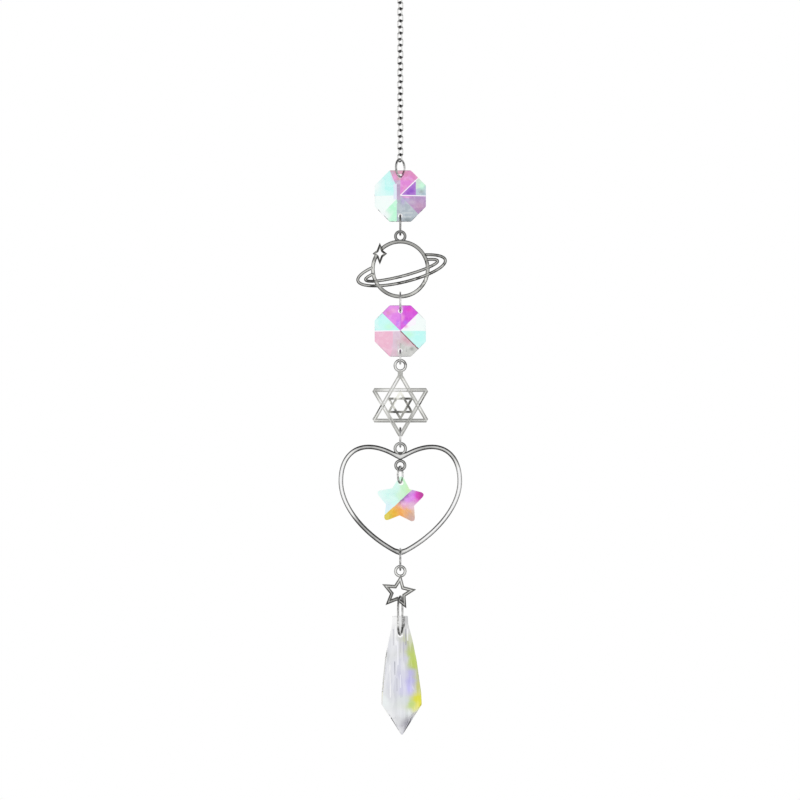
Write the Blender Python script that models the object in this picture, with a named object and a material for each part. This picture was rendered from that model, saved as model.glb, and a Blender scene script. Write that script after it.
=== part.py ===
"""A crystal suncatcher: a chain of cast charms and faceted crystals that hangs from a ring.

Metres, +Z up, X to the right and -Y towards the viewer. The origin is where a hook holds the top ring.
Each piece hangs from the one above it: the stack at the end of this file works out every height.
"""

from math import atan2, cos, pi, radians, sin

import bmesh
import bpy
from mathutils import Matrix, Vector

MM = 0.001

# Gaps between pieces that hang in one another
gap = 0.3 * MM
hole_gap = 0.5 * MM

# Top ring, cable chain and jump rings
hanging_ring_outer = 12.0 * MM
hanging_ring_wire = 1.2 * MM
link_count = 34
link_pitch = 1.9 * MM
link_width = 2.2 * MM
link_wire = 0.5 * MM
link_turn = radians(45)
jump_wire = 0.7 * MM
top_ring_outer = 6.2 * MM
bead_ring_outer = 6.2 * MM
planet_ring_outer = 6.8 * MM
lower_bead_ring_outer = 6.65 * MM
hexagram_ring_outer = 4.9 * MM
heart_ring_outer = 6.65 * MM
heart_star_ring_outer = 5.8 * MM
small_star_ring_outer = 7.3 * MM
icicle_ring_length = 12.7 * MM
icicle_ring_width = 7.3 * MM
bead_ring_turn = radians(20)
star_ring_turn = radians(14)

# Octagon beads
bead_across_flats = 16.0 * MM
bead_depth = 6.0 * MM
bead_rim = 1.2 * MM
bead_facet_reach = 5.4 * MM
crystal_hole = 1.9 * MM
bead_hole_edge = 1.1 * MM

# What the cast charms share
loop_outer = 3.9 * MM
loop_wire = 0.9 * MM
loop_sink = 0.35 * MM
charm_depth = 1.6 * MM
cast_edge_share = 0.25

# Planet charm
planet_outer = 18.3 * MM
planet_band = 1.15 * MM
planet_ring_length = 29.0 * MM
planet_ring_height = 7.5 * MM
planet_ring_tilt = radians(13.3)
planet_inner_ring_tilt = radians(14.7)
planet_strands_apart_across = 2.4 * MM
planet_strands_apart_down = 1.95 * MM
planet_loop_sink = 0.85 * MM
planet_strand = 0.95 * MM
planet_strand_depth = 1.2 * MM
planet_strand_forward = 0.45 * MM
planet_ring_aside = 0.4 * MM
planet_ring_drop = 0.4 * MM
sparkle_height = 6.6 * MM
sparkle_width = 4.3 * MM
sparkle_wire = 0.6 * MM
sparkle_waist_share = 0.17
sparkle_angle = radians(143)
sparkle_reach = 8.0 * MM

# Six-pointed star charm
hexagram_loop_outer = 4.2 * MM
hexagram_radius = 10.75 * MM
hexagram_tip_reach = 9.7 * MM
hexagram_bar = 1.2 * MM
hexagram_inner_radius = 4.85 * MM
hexagram_inner_bar = 0.7 * MM
hexagram_inner_depth = 1.0 * MM
hexagram_stem = 1.6 * MM
hexagram_stem_height = 0.95 * MM

# Heart frame
heart_half_width = 18.66 * MM
heart_lobe_drop = 7.17 * MM
heart_point_drop = 29.8 * MM
heart_lobe_handle = (10.7 * MM, 6.98 * MM)
heart_side_handle_up = 10.15 * MM
heart_side_handle_down = 8.78 * MM
heart_point_handle = (9.65 * MM, 4.53 * MM)
heart_wire = 1.45 * MM
heart_loop_outer = 4.2 * MM
heart_lower_loop_outer = 3.8 * MM
heart_web = 1.3 * MM

# Star crystal
star_arms = 5
star_tip = 7.3 * MM
star_notch = 4.6 * MM
star_depth = 5.0 * MM
star_rim = 1.6 * MM
star_tip_cut = 1.1 * MM
star_hole_edge = 0.9 * MM
star_tilt = radians(-2.5)

# Small star charm, which has as many arms as the star crystal
small_star_tip = 5.6 * MM
small_star_notch = 2.6 * MM
small_star_bar = 1.03 * MM
small_star_tilt = radians(-9)

# Icicle drop: each row is the depth below its top, the half width and the half depth
icicle_length = 37.4 * MM
icicle_neck = 2.4 * MM
icicle_hole_drop = 5.9 * MM
icicle_lean = radians(-1.0)
icicle_rows = (
    (0.0, 2.45 * MM, 1.3 * MM),
    (icicle_neck, 2.5 * MM, 1.3 * MM),
    (7.6 * MM, 3.75 * MM, 1.9 * MM),
    (13.8 * MM, 4.85 * MM, 3.1 * MM),
    (24.0 * MM, 6.05 * MM, 4.5 * MM),
    (27.6 * MM, 6.15 * MM, 4.7 * MM),
)
icicle_shoulder_drop = 31.0 * MM
icicle_face_share = 0.42
icicle_edge_share = 0.36
icicle_shoulder_share = 0.75

# Steps round the curved pieces
link_arc_steps = 3
link_sides = 6
ring_steps = 16
ring_sides = 6
hanging_ring_steps = 28
hanging_ring_sides = 8
loop_steps = 14
heart_steps = 13
planet_steps = 36
strand_steps = 34
strand_search_steps = 360
hole_steps = 12


def clear_scene():
    for thing in list(bpy.data.objects):
        bpy.data.objects.remove(thing)


def material(name, colour, roughness, metallic, see_through=0.0):
    made = bpy.data.materials.new(name)
    made.use_nodes = True
    shader = made.node_tree.nodes["Principled BSDF"]
    shader.inputs["Base Color"].default_value = (*colour, 1)
    shader.inputs["Roughness"].default_value = roughness
    shader.inputs["Metallic"].default_value = metallic
    shader.inputs["Transmission Weight"].default_value = see_through
    return made


def round_profile(wire, sides):
    """The points of a round wire's section, as (across, depth)."""
    half_step = pi / sides
    angles = [2 * pi * n / sides + half_step for n in range(sides)]
    return [(wire / 2 * cos(a), wire / 2 * sin(a)) for a in angles]


def cast_profile(width, depth):
    """A cast bar's section: flat front and back, with its edges broken."""
    edge = min(width, depth) * cast_edge_share
    half_width = width / 2
    half_depth = depth / 2
    return [
        (half_width, half_depth - edge),
        (half_width - edge, half_depth),
        (edge - half_width, half_depth),
        (-half_width, half_depth - edge),
        (-half_width, edge - half_depth),
        (edge - half_width, -half_depth),
        (half_width - edge, -half_depth),
        (half_width, edge - half_depth),
    ]


def circle_path(radius, steps):
    return [Vector((radius * cos(a), radius * sin(a))) for a in (2 * pi * n / steps for n in range(steps))]


def oval_path(half_width, half_length, arc_steps):
    """A link's centre line: two half circles joined by straight runs."""
    run = half_length - half_width
    path = []
    for end, start in ((1, 0.0), (-1, pi)):
        for n in range(arc_steps + 1):
            angle = start + pi * n / arc_steps
            path.append(Vector((half_width * cos(angle), half_width * sin(angle) + end * run)))
    return path


def polygon_path(radii, turn=0.0):
    """Corners evenly spaced round a centre, anticlockwise from the top, each at its own radius."""
    count = len(radii)
    angles = [pi / 2 + turn + 2 * pi * n / count for n in range(count)]
    return [Vector((r * cos(a), r * sin(a))) for r, a in zip(radii, angles)]


def bezier_path(start, start_handle, end_handle, end, steps):
    path = []
    for n in range(steps):
        t = n / steps
        u = 1 - t
        path.append(u**3 * start + 3 * u * u * t * start_handle + 3 * u * t * t * end_handle + t**3 * end)
    return path


def mitre(before, here, after):
    """The outward direction at a corner, long enough to keep both sides at a distance of one."""
    one = (here - before).normalized() if before else (after - here).normalized()
    two = (after - here).normalized() if after else one
    outward_one = Vector((one.y, -one.x))
    outward_two = Vector((two.y, -two.x))
    middle = (outward_one + outward_two).normalized()
    return middle / middle.dot(outward_one)


def inset(path, distance):
    """The closed path moved inwards."""
    count = len(path)
    return [p - mitre(path[n - 1], p, path[(n + 1) % count]) * distance for n, p in enumerate(path)]


def swept_bar(path, profile, closed=True, offset=0.0):
    """A bar that follows a path in the XZ plane. offset moves the whole bar outwards from the path."""
    mesh = bmesh.new()
    rows = []
    count = len(path)
    for n, point in enumerate(path):
        before = path[n - 1] if closed or n else None
        after = path[(n + 1) % count] if closed or n < count - 1 else None
        outward = mitre(before, point, after)
        row = []
        for across, depth in profile:
            at = point + outward * (across + offset)
            row.append(mesh.verts.new((at.x, depth, at.y)))
        rows.append(row)
    sides = len(profile)
    for n in range(count if closed else count - 1):
        one, two = rows[n], rows[(n + 1) % count]
        for k in range(sides):
            nxt = (k + 1) % sides
            mesh.faces.new((one[k], one[nxt], two[nxt], two[k]))
    if not closed:
        mesh.faces.new(rows[0])
        mesh.faces.new(list(reversed(rows[-1])))
    bmesh.ops.recalc_face_normals(mesh, faces=mesh.faces)
    return mesh


def lofted(sections, tip=None):
    """A closed solid through rows of points, with a flat top and a flat or pointed bottom."""
    mesh = bmesh.new()
    rows = [[mesh.verts.new(point) for point in section] for section in sections]
    count = len(rows[0])
    mesh.faces.new(rows[0])
    for one, two in zip(rows, rows[1:]):
        for k in range(count):
            nxt = (k + 1) % count
            mesh.faces.new((one[k], two[k], two[nxt], one[nxt]))
    if tip is None:
        mesh.faces.new(list(reversed(rows[-1])))
    else:
        end = mesh.verts.new(tip)
        for k in range(count):
            mesh.faces.new((rows[-1][k], end, rows[-1][(k + 1) % count]))
    bmesh.ops.recalc_face_normals(mesh, faces=mesh.faces)
    return mesh


def fan_crystal(outline, middle_depth, rim, bevel=None):
    """A two-sided crystal: the outline is its rim, and its facets run from it to a point on each face."""
    mesh = bmesh.new()
    front = [mesh.verts.new((p.x, -rim / 2, p.y)) for p in outline]
    back = [mesh.verts.new((p.x, rim / 2, p.y)) for p in outline]
    count = len(outline)
    for side, rim_points in ((-1, front), (1, back)):
        middle = mesh.verts.new((0, side * middle_depth / 2, 0))
        if bevel is None:
            for n in range(count):
                mesh.faces.new((middle, rim_points[n], rim_points[(n + 1) % count]))
            continue
        inner = [mesh.verts.new((p.x, side * depth, p.y)) for p, depth in bevel]
        for n in range(count):
            nxt = (n + 1) % count
            mesh.faces.new((inner[n], rim_points[n], rim_points[nxt]))
            mesh.faces.new((middle, inner[n], rim_points[nxt], inner[nxt]))
    for n in range(count):
        nxt = (n + 1) % count
        mesh.faces.new((front[n], front[nxt], back[nxt], back[n]))
    bmesh.ops.recalc_face_normals(mesh, faces=mesh.faces)
    return mesh


def piece(name, mesh, finish, z, x=0.0, y=0.0, turn=0.0, lean=0.0, smooth=False):
    """Makes the object, places it and gives it its finish. turn is about Z, and lean about Y."""
    data = bpy.data.meshes.new(name)
    mesh.to_mesh(data)
    mesh.free()
    data.materials.append(finish)
    made = bpy.data.objects.new(name, data)
    bpy.context.scene.collection.objects.link(made)
    turned = Matrix.Rotation(turn, 4, "Z") @ Matrix.Rotation(lean, 4, "Y")
    made.matrix_world = Matrix.Translation((x, y, z)) @ turned
    if smooth:
        data.shade_smooth()
    return made


def combine(made, other, operation):
    """Fuses the other object into this one, or cuts it away, and removes it."""
    modifier = made.modifiers.new(operation.title(), "BOOLEAN")
    modifier.operation = operation
    modifier.solver = "EXACT"
    modifier.object = other
    bpy.context.view_layer.update()
    graph = bpy.context.evaluated_depsgraph_get()
    result = bpy.data.meshes.new_from_object(made.evaluated_get(graph))
    made.modifiers.remove(modifier)
    old = made.data
    made.data = result
    result.name = made.name
    bpy.data.meshes.remove(old)
    bpy.data.objects.remove(other)


def fuse(made, mesh, x=0.0, y=0.0, z=0.0):
    """Joins a shape to the object, at this place in the object's own axes."""
    other = piece("addition", mesh, made.data.materials[0], z, x, y)
    other.matrix_world = made.matrix_world @ other.matrix_world
    combine(made, other, "UNION")


def cut(made, mesh, x=0.0, z=0.0):
    """Cuts a shape away from the object, at this place in the object's own axes."""
    other = piece("cutter", mesh, made.data.materials[0], z, x)
    other.matrix_world = made.matrix_world @ other.matrix_world
    combine(made, other, "DIFFERENCE")


def trim(made, reach):
    """Cuts six points off square at this distance from the object's middle."""
    mesh = bmesh.new()
    around = reach / cos(pi / 6)
    upright_points = Matrix.Rotation(pi / 2, 4, "X")
    bmesh.ops.create_cone(
        mesh, cap_ends=True, segments=6, radius1=around, radius2=around, depth=2 * charm_depth, matrix=upright_points
    )
    other = piece("trimmer", mesh, made.data.materials[0], 0.0)
    other.matrix_world = made.matrix_world @ Matrix.Rotation(pi / 6, 4, "Y")
    combine(made, other, "INTERSECT")


def round_hole(width, depth, steps):
    """A cutter along Y."""
    mesh = bmesh.new()
    bmesh.ops.create_cone(
        mesh,
        cap_ends=True,
        segments=steps,
        radius1=width / 2,
        radius2=width / 2,
        depth=depth,
        matrix=Matrix.Rotation(pi / 2, 4, "X"),
    )
    return mesh


def wire_ring(name, finish, top, outer, wire, turn=0.0, length=None, steps=ring_steps, sides=ring_sides):
    """A closed ring whose inner top is at the height given. Returns the height of its inner bottom."""
    length = length or outer
    half_width = (outer - wire) / 2
    half_length = (length - wire) / 2
    if length == outer:
        path = circle_path(half_width, steps)
    else:
        path = oval_path(half_width, half_length, steps // 2)
    centre = top - (length / 2 - wire)
    piece(name, swept_bar(path, round_profile(wire, sides)), finish, centre, turn=turn, smooth=True)
    return top - (length - 2 * wire)


def upright(width, low, high):
    """A short cast bar between two heights."""
    path = [Vector((0, low)), Vector((0, high))]
    return swept_bar(path, cast_profile(width, charm_depth), closed=False)


def cast_loop(outer):
    return swept_bar(circle_path((outer - loop_wire) / 2, loop_steps), round_profile(loop_wire, ring_sides))


def chain(finish, top):
    """Closed links, turned one way and the other. Returns the height of the last one's inner bottom."""
    half_width = (link_width - link_wire) / 2
    inner_length = link_pitch + gap
    half_length = (inner_length + link_wire) / 2
    profile = round_profile(link_wire, link_sides)
    centre = top - inner_length / 2
    for n in range(link_count):
        path = oval_path(half_width, half_length, link_arc_steps)
        turn = -link_turn if (link_count - n) % 2 else link_turn
        name = f"chain_link_{n + 1:02d}"
        piece(name, swept_bar(path, profile), finish, centre - n * link_pitch, turn=turn, smooth=True)
    return centre - (link_count - 1) * link_pitch - inner_length / 2


def octagon_bead(name, finish, top_bearing):
    """Top_bearing is the top of the upper hole. Returns the bottom of the lower hole."""
    corner = bead_across_flats / 2 / cos(pi / 8)
    slope = (bead_depth - bead_rim) / 2 / corner
    facet_depth = bead_depth / 2 - slope * bead_facet_reach * cos(pi / 8)
    outline = polygon_path([corner] * 8, pi / 8)
    middles = polygon_path([bead_facet_reach] * 8, pi / 4)
    bevel = [(point, facet_depth) for point in middles]
    hole_reach = bead_across_flats / 2 - bead_hole_edge
    centre = top_bearing - hole_reach
    made = piece(name, fan_crystal(outline, bead_depth, bead_rim, bevel), finish, centre)
    for side in (1, -1):
        hole = round_hole(crystal_hole, 2 * bead_depth, hole_steps)
        cut(made, hole, z=side * (hole_reach - crystal_hole / 2))
    return centre - hole_reach


def planet_strand_path(length, height, tilt):
    """A strand of the planet's ring: the part of a tilted ellipse outside the planet or in front of it."""
    half_length = (length - planet_strand) / 2
    half_height = height / 2
    band = (planet_outer - planet_band) / 2
    turn = Matrix.Rotation(tilt, 2)
    aside = Vector((planet_ring_aside, -planet_ring_drop))

    def at(angle):
        return turn @ Vector((half_length * cos(angle), half_height * sin(angle))) + aside

    step = 2 * pi / strand_search_steps
    back = [n for n in range(strand_search_steps // 2) if at(n * step).length < band]
    start = (back[-1] + 1) * step
    end = (back[0] - 1) * step + 2 * pi
    return [at(start + (end - start) * n / strand_steps) for n in range(strand_steps + 1)]


def sparkle_path():
    """A four-pointed sparkle with hollow sides, anticlockwise from its top."""
    tall = sparkle_height / 2
    wide = sparkle_width / 2
    waist = sparkle_width * sparkle_waist_share
    corners = ((0, tall), (-waist, waist), (-wide, 0), (-waist, -waist))
    other = ((0, -tall), (waist, -waist), (wide, 0), (waist, waist))
    return [Vector(point) for point in corners + other]


def planet_charm(finish, top_bearing):
    loop_centre = top_bearing - (loop_outer / 2 - loop_wire)
    centre = loop_centre - loop_outer / 2 + planet_loop_sink - planet_outer / 2
    band = (planet_outer - planet_band) / 2
    bar = cast_profile(planet_band, charm_depth)
    made = piece("planet_charm", swept_bar(circle_path(band, planet_steps), bar), finish, centre)
    reach = Vector((cos(sparkle_angle), sin(sparkle_angle))) * sparkle_reach
    middle_line = inset(sparkle_path(), sparkle_wire / 2)
    hollow = lofted([[(p.x, y, p.y) for p in middle_line] for y in (-charm_depth, charm_depth)])
    cut(made, hollow, x=reach.x, z=reach.y)
    outline = swept_bar(middle_line, cast_profile(sparkle_wire, charm_depth))
    fuse(made, outline, x=reach.x, z=reach.y)
    strand = cast_profile(planet_strand, planet_strand_depth)
    inner_length = planet_ring_length - 2 * planet_strands_apart_across
    inner_height = planet_ring_height - 2 * planet_strands_apart_down
    for length, height, tilt in (
        (planet_ring_length, planet_ring_height, planet_ring_tilt),
        (inner_length, inner_height, planet_inner_ring_tilt),
    ):
        path = planet_strand_path(length, height, tilt)
        fuse(made, swept_bar(path, strand, closed=False), y=-planet_strand_forward)
    fuse(made, cast_loop(loop_outer), z=loop_centre - centre)
    return centre - planet_outer / 2 + planet_band


def hexagram_charm(finish, top_bearing):
    loop_centre = top_bearing - (hexagram_loop_outer / 2 - loop_wire)
    stem_top = loop_centre - hexagram_loop_outer / 2 + loop_sink
    centre = stem_top - hexagram_stem_height - hexagram_tip_reach
    bar = cast_profile(hexagram_bar, charm_depth)
    inner_bar = cast_profile(hexagram_inner_bar, hexagram_inner_depth)
    path_radius = hexagram_radius - hexagram_bar
    inner_path_radius = hexagram_inner_radius - hexagram_inner_bar
    made = piece("hexagram_charm", swept_bar(polygon_path([path_radius] * 3), bar), finish, centre)
    fuse(made, swept_bar(polygon_path([path_radius] * 3, pi), bar))
    trim(made, hexagram_tip_reach)
    for turn in (0, pi):
        fuse(made, swept_bar(polygon_path([inner_path_radius] * 3, turn), inner_bar))
    stem_low = hexagram_tip_reach - hexagram_bar
    stem_high = hexagram_tip_reach + hexagram_stem_height
    fuse(made, upright(hexagram_stem, stem_low, stem_high))
    fuse(made, cast_loop(hexagram_loop_outer), z=loop_centre - centre)
    seat = (jump_wire / 2 + gap) / sin(pi / 6)
    return centre - hexagram_radius + hexagram_bar / sin(pi / 6) + seat - jump_wire / 2 - gap


def heart_path():
    """The wire's centre line, anticlockwise from the cleft, which is the path's origin."""
    cleft = Vector((0, 0))
    side = Vector((-heart_half_width, -heart_lobe_drop))
    point = Vector((0, -heart_point_drop))
    lobe_handle = Vector((-heart_lobe_handle[0], heart_lobe_handle[1]))
    side_up = side + Vector((0, heart_side_handle_up))
    side_down = side - Vector((0, heart_side_handle_down))
    point_handle = point + Vector((-heart_point_handle[0], heart_point_handle[1]))
    left = bezier_path(cleft, lobe_handle, side_up, side, heart_steps)
    left += bezier_path(side, side_down, point_handle, point, heart_steps)
    right = [Vector((-p.x, p.y)) for p in reversed(left[1:])]
    return left + [point] + right


def heart_frame(finish, top_bearing):
    """Returns the bottoms of its lower loop and of its point, where things hang."""
    loop_centre = top_bearing - (heart_loop_outer / 2 - loop_wire)
    lobe_slope = atan2(heart_lobe_handle[1], heart_lobe_handle[0])
    cleft = loop_centre - (heart_wire / 2 + heart_loop_outer / 2 - loop_sink) / cos(lobe_slope)
    wire = round_profile(heart_wire, hanging_ring_sides)
    made = piece("heart_frame", swept_bar(heart_path(), wire), finish, cleft, smooth=True)
    fuse(made, cast_loop(heart_loop_outer), z=loop_centre - cleft)
    fuse(made, upright(heart_web, 0, loop_centre - heart_loop_outer / 2 + loop_wire / 2 - cleft))
    lower_centre = cleft - heart_wire / 2 + loop_sink - heart_lower_loop_outer / 2
    fuse(made, cast_loop(heart_lower_loop_outer), z=lower_centre - cleft)
    made.data.set_sharp_from_angle(angle=radians(60))
    slope = atan2(heart_point_handle[1], heart_point_handle[0])
    point_bearing = cleft - heart_point_drop + heart_wire / 2 / cos(slope)
    return lower_centre - heart_lower_loop_outer / 2 + loop_wire, point_bearing


def star_crystal(finish, top_bearing):
    outline = []
    for n in range(star_arms):
        tip_angle = pi / 2 + 2 * pi * n / star_arms
        tip = Vector((cos(tip_angle), sin(tip_angle)))
        along = Vector((-tip.y, tip.x)) * star_tip_cut / 2
        outline += [tip * star_tip - along, tip * star_tip + along]
        notch_angle = tip_angle + pi / star_arms
        outline.append(Vector((cos(notch_angle), sin(notch_angle))) * star_notch)
    hole_reach = star_tip - star_hole_edge - crystal_hole / 2
    centre = top_bearing - crystal_hole / 2 - hole_reach
    made = piece("star_crystal", fan_crystal(outline, star_depth, star_rim), finish, centre, lean=-star_tilt)
    hole = round_hole(crystal_hole, 2 * star_depth, hole_steps)
    cut(made, hole, x=hole_reach * sin(star_tilt), z=hole_reach * cos(star_tilt))


def small_star_charm(finish, top_bearing):
    """An open star, tilted as it hangs. Returns where the ring rests in its lowest arm."""
    half_arm = pi / star_arms
    edge = Vector((small_star_notch * sin(half_arm), small_star_notch * cos(half_arm) - small_star_tip))
    half_angle = atan2(edge.x, -edge.y)
    pocket = small_star_tip - small_star_bar / sin(half_angle)
    seat = pocket - (jump_wire / 2 + gap) / sin(half_angle)
    arm = small_star_tilt + half_arm - pi / 2
    loop_centre = top_bearing - (loop_outer / 2 - loop_wire)
    tip_height = small_star_tip * cos(small_star_tilt)
    centre = loop_centre - loop_outer / 2 + loop_wire - tip_height
    aside = -seat * cos(arm)
    radii = [small_star_tip, small_star_notch] * star_arms
    bar = cast_profile(small_star_bar, charm_depth)
    path = polygon_path(radii, small_star_tilt)
    frame = swept_bar(path, bar, offset=-small_star_bar / 2)
    made = piece("small_star_charm", frame, finish, centre, x=aside)
    fuse(made, cast_loop(loop_outer), x=-aside, z=loop_centre - centre)
    return centre + seat * sin(arm) - jump_wire / 2 - gap


def icicle_drop(finish, top_bearing):
    """The drop's sections are measured from its top, and it leans about its hole."""
    sections = []
    for drop, half_width, half_depth in icicle_rows:
        face = half_width * icicle_face_share
        edge = half_depth * icicle_edge_share
        last = drop == icicle_rows[-1][0]
        face_drop = icicle_shoulder_drop if last else drop
        if last:
            face *= icicle_shoulder_share
        corner = [(face, half_depth, face_drop), (half_width, edge, drop)]
        quarter = corner[::-1]
        points = [(x, -y, d) for x, y, d in corner]
        points += [(x, y, d) for x, y, d in quarter]
        points += [(-x, y, d) for x, y, d in corner]
        points += [(-x, -y, d) for x, y, d in quarter]
        sections.append([(x, y, -d) for x, y, d in points])
    mesh = lofted(sections, (0, 0, -icicle_length))
    bmesh.ops.translate(mesh, vec=(0, 0, icicle_hole_drop), verts=mesh.verts)
    made = piece("icicle_drop", mesh, finish, top_bearing - crystal_hole / 2, lean=icicle_lean)
    cut(made, round_hole(crystal_hole, icicle_length, hole_steps))


def build():
    clear_scene()
    steel = material("bright_steel", (0.62, 0.62, 0.61), 0.25, 1.0)
    silver = material("antique_silver", (0.55, 0.54, 0.52), 0.32, 1.0)
    rainbow = material("rainbow_crystal", (0.93, 0.83, 0.95), 0.02, 0.0, 1.0)
    clear = material("clear_crystal", (0.95, 0.95, 0.97), 0.02, 0.0, 1.0)

    hook_inner = hanging_ring_outer - 2 * hanging_ring_wire
    wire_ring(
        "hanging_ring",
        steel,
        0.0,
        hanging_ring_outer,
        hanging_ring_wire,
        steps=hanging_ring_steps,
        sides=hanging_ring_sides,
    )
    low = wire_ring("ring_top_chain", steel, gap - hook_inner, top_ring_outer, jump_wire, pi / 2)
    low = chain(steel, low + gap)
    low = wire_ring("ring_chain_bead", steel, low + gap, bead_ring_outer, jump_wire, pi / 2 - bead_ring_turn)
    low = octagon_bead("octagon_bead_upper", rainbow, low + hole_gap)
    low = wire_ring("ring_bead_planet", steel, low + hole_gap, planet_ring_outer, jump_wire, pi / 2)
    low = planet_charm(silver, low + gap)
    low = wire_ring("ring_planet_bead", steel, low + gap, lower_bead_ring_outer, jump_wire, pi / 2)
    low = octagon_bead("octagon_bead_lower", rainbow, low + hole_gap)
    low = wire_ring("ring_bead_hexagram", steel, low + hole_gap, hexagram_ring_outer, jump_wire, pi / 2)
    low = hexagram_charm(silver, low + gap)
    low = wire_ring("ring_hexagram_heart", steel, low + gap, heart_ring_outer, jump_wire, pi / 2)
    inner_low, low = heart_frame(silver, low + gap)
    inner_low = wire_ring(
        "ring_heart_star", steel, inner_low + gap, heart_star_ring_outer, jump_wire, pi / 2 - star_ring_turn
    )
    star_crystal(rainbow, inner_low + hole_gap)
    low = wire_ring("ring_heart_small_star", steel, low + gap, small_star_ring_outer, jump_wire, pi / 2)
    low = small_star_charm(silver, low + gap)
    low = wire_ring(
        "ring_small_star_icicle",
        steel,
        low + gap,
        icicle_ring_width,
        jump_wire,
        pi / 2,
        length=icicle_ring_length,
    )
    icicle_drop(clear, low + hole_gap)


build()
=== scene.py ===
from math import atan2, cos, degrees, exp, pi, radians, sin

import bpy
from mathutils import Matrix, Vector


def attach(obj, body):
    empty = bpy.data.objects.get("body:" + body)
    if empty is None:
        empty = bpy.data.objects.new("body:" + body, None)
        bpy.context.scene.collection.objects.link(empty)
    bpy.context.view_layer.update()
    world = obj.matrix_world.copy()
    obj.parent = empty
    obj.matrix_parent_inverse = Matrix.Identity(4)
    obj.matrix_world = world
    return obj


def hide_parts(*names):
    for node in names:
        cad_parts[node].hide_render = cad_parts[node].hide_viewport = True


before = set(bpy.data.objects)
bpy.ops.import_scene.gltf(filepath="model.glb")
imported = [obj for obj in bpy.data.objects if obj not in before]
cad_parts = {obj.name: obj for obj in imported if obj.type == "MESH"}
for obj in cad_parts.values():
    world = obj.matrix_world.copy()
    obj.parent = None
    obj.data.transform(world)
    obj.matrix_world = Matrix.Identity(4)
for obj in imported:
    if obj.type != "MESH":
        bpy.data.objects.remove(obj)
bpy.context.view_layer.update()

mm = 0.001


# Modelling helpers

def only(piece):
    bpy.ops.object.select_all(action="DESELECT")
    piece.select_set(True)
    bpy.context.view_layer.objects.active = piece


def editing(mode="FACE", everything=False):
    bpy.ops.object.mode_set(mode="EDIT")
    bpy.ops.mesh.select_mode(type=mode)
    bpy.ops.mesh.select_all(action="SELECT" if everything else "DESELECT")


def done():
    bpy.ops.object.mode_set(mode="OBJECT")


# Selects the faces whose normal passes the test, from edit mode and back into it
def picked(piece, test):
    done()
    for face in piece.data.polygons:
        face.select = bool(test(face.normal))
    bpy.ops.object.mode_set(mode="EDIT")


def pushed(offset):
    bpy.ops.mesh.extrude_region_move(TRANSFORM_OT_translate={"value": offset})


def resized(factors, centre):
    bpy.ops.transform.resize(value=factors, center_override=centre)


def closedUp(piece):
    only(piece)
    editing(everything=True)
    bpy.ops.mesh.remove_doubles(threshold=1e-6)
    bpy.ops.mesh.normals_make_consistent(inside=False)
    done()


# Fuses the other object into the piece, or cuts it out, and removes it
def joined(piece, other, operation="UNION"):
    only(piece)
    modifier = piece.modifiers.new("join", "BOOLEAN")
    modifier.operation = operation
    modifier.solver = "EXACT"
    modifier.object = other
    modifier.material_mode = "TRANSFER"
    bpy.ops.object.modifier_apply(modifier=modifier.name)
    bpy.data.objects.remove(other)


# Drills a hole along Y at this height above the origin
def drilled(piece, width, z, depth):
    bpy.ops.mesh.primitive_cylinder_add(
        vertices=40, radius=width / 2, depth=depth, location=(0, 0, z), rotation=(pi / 2, 0, 0)
    )
    joined(piece, bpy.context.active_object, "DIFFERENCE")


def settled(piece):
    only(piece)
    bpy.ops.object.transform_apply(location=True, rotation=True, scale=True)


# Adds a modifier with these values and applies it
def applied(piece, kind, **values):
    only(piece)
    modifier = piece.modifiers.new(kind.lower(), kind)
    for name, value in values.items():
        setattr(modifier, name, value)
    bpy.ops.object.modifier_apply(modifier=modifier.name)


# Selects the corners that pass the test, and stays in edit mode
def chosen(piece, test):
    only(piece)
    editing("VERT")
    done()
    for corner in piece.data.vertices:
        corner.select = bool(test(corner))
    bpy.ops.object.mode_set(mode="EDIT")


# Scales the corners that pass the test about the origin
def pulled(piece, test, factors):
    chosen(piece, lambda corner: test(corner.co))
    resized(factors, (0, 0, 0))
    done()


# Moves the mesh to its place and leaves the object's own origin at the world's
def placed(piece, x=0.0, y=0.0, z=0.0, turn=0.0, lean=0.0):
    piece.rotation_euler = (0, lean, turn)
    piece.location = (x, y, z)
    settled(piece)


def painted(piece, material):
    piece.data.materials.clear()
    piece.data.materials.append(material)


def handedOver(piece, name, node, material=None):
    piece.name = name
    piece.data.name = name
    if material:
        painted(piece, material)
    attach(piece, "root")
    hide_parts(node)


def copyOf(piece):
    made = piece.copy()
    made.data = piece.data.copy()
    bpy.context.scene.collection.objects.link(made)
    return made


# The linear colour of a web colour code
def shade(code):
    parts = [int(code[n:n + 2], 16) / 255 for n in (1, 3, 5)]
    return [((part + 0.055) / 1.055) ** 2.4 if part > 0.04 else part / 12.92 for part in parts]


# Turns places in millimetres into metres, each with what its value stands for
def atPlaces(places, tintOf):
    return [(Vector(place) * mm, tintOf(value)) for place, value in places]


# The tint at a place, blended from the nearest of those that are named
def blendOf(at, places, spread, power=5):
    weights = [1 / ((at - place).length + spread) ** power for place, tint in places]
    total = sum(weights)
    return [
        sum(weight * tint[k] for weight, (place, tint) in zip(weights, places)) / total
        for k in range(len(places[0][1]))
    ]


# Writes how dark the painted shade on the silver is, from -1 to 1, blended from named places; below zero it
# is a painted highlight
def shadingPainted(piece, places):
    named = atPlaces(places, lambda value: [value])
    layer = piece.data.attributes.new(name="paintedShading", type="FLOAT", domain="POINT")
    for corner, value in zip(piece.data.vertices, layer.data):
        value.value = blendOf(Vector((corner.co.x, corner.co.z)), named, mm, 4)[0]


# Writes how far each corner faces the front or the back, from none at the sides to the full value
def facingMeasured(piece, full):
    layer = piece.data.attributes.new(name="facing", type="FLOAT", domain="POINT")
    for corner, value in zip(piece.data.vertices, layer.data):
        value.value = abs(corner.normal.y) * full


# Materials

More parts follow.
